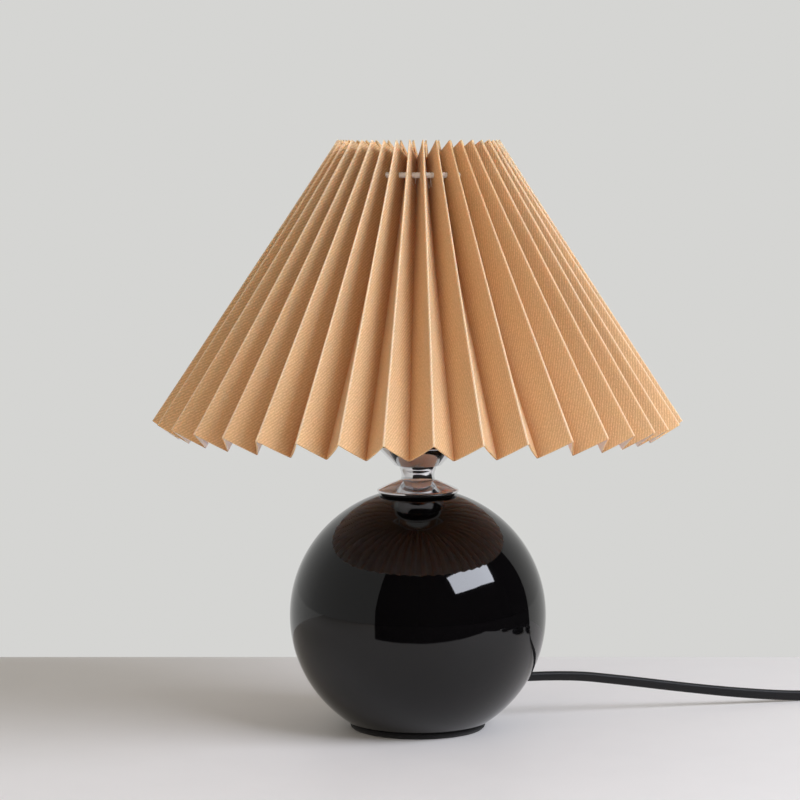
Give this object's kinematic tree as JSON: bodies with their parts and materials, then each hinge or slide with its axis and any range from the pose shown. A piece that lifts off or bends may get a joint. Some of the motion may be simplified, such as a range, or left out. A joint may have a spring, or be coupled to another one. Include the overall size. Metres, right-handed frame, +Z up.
{
  "type": "bedside lamp",
  "caption": "Bedside lamp with a black ceramic ball base, plated neck, pleated linen shade on a wire carrier, screw-in bulb, and a mains lead with hand switch and plug.",
  "frame": {"origin": "centre of the foot on the surface that the lamp stands on", "axes": "+Z up along the lamp's axis, -Y towards the front, the lead leaves towards +X"},
  "size_m": [0.5293, 0.2806, 0.3123],
  "materials": {
    "foot": "matte black pad",
    "ceramic": "black gloss glaze",
    "chrome": "bright plated",
    "plated_steel": "zinc plated",
    "rubber": "soft black",
    "black_plastic": "moulded black",
    "porcelain": "white glaze",
    "brass": "plain",
    "black_glass": "vitrite",
    "bulb_metal": "rolled thread",
    "white_plastic": "moulded white",
    "opal": "opal diffuser",
    "white_wire": "white powder coat",
    "linen": "pleated tan linen with a white lining",
    "cotton": "twisted white cotton",
    "cable": "black sheath",
    "core_brown": "brown insulation",
    "core_blue": "blue insulation",
    "tie": "woven strap",
    "rocker": "polished black",
    "pin_metal": "nickel plated"
  },
  "bodies": {
    "lamp": {"foot_pad": "foot", "base_plate": "plated_steel", "ball_body": "ceramic", "lead_bush": "rubber", "cap_gasket": "rubber", "vase_cap": "chrome", "neck_spacer": "chrome", "holder_cup": "chrome", "holder_base": "black_plastic", "holder_insert": "porcelain", "terminal_1": "brass", "terminal_2": "brass", "screw_shell": "brass", "centre_contact": "brass", "holder_sleeve": "black_plastic", "threaded_nipple": "plated_steel", "soft_washer": "rubber", "steel_washer": "plated_steel", "hex_nut": "plated_steel", "ring_nut": "black_plastic", "lead_run": "cable", "lead_link": "cable", "lead_coil": "cable", "lead_tail": "cable", "inner_lead": "cable", "lead_collar": "black_plastic", "core_1": "core_brown", "core_2": "core_blue", "coil_tie": "tie", "switch_base": "black_plastic", "switch_cover": "black_plastic", "switch_contact": "brass", "switch_screw_1": "plated_steel", "switch_screw_2": "plated_steel", "switch_sleeve_in": "rubber", "switch_sleeve_out": "rubber", "plug_relief": "rubber", "plug_body": "black_plastic", "plug_pin_1": "pin_metal", "plug_pin_2": "pin_metal"},
    "shade": {"pleated_shade": "linen", "gather_cord": "cotton", "fitter_ring": "white_wire", "carrier_ring": "white_wire", "carrier_arm_1": "white_wire", "carrier_arm_2": "white_wire", "carrier_arm_3": "white_wire"},
    "bulb_shell": {"bulb_dome": "opal"},
    "bulb_base": {"bulb_housing": "white_plastic", "bulb_cap": "bulb_metal", "bulb_insulator": "black_glass", "bulb_tip": "brass"},
    "rocker": {"switch_rocker": "rocker"}
  },
  "joints": [
    {"name": "shade_swivel", "type": "hinge", "parent": "lamp", "child": "shade", "pos_m": [0, 0, 0.1815], "axis": [0, 0, 1], "continuous": true},
    {"name": "bulb_lift", "type": "slide", "parent": "lamp", "child": "bulb_shell", "axis": [0, 0, 1], "range_m": [0, 0.0182]},
    {"name": "bulb_turn", "type": "hinge", "parent": "bulb_shell", "child": "bulb_base", "pos_m": [0, 0, 0.18], "axis": [0, 0, 1], "range_deg": [0, 1800]},
    {"name": "switch_rocker_tilt", "type": "hinge", "parent": "lamp", "child": "rocker", "pos_m": [0.303, 0.08, 0.0138], "axis": [0, 1, 0], "range_deg": [0, 12]}
  ],
  "couplings": [
    {"joint": "bulb_lift", "follows": "bulb_turn", "m_per_rad": 0.00057757}
  ]
}
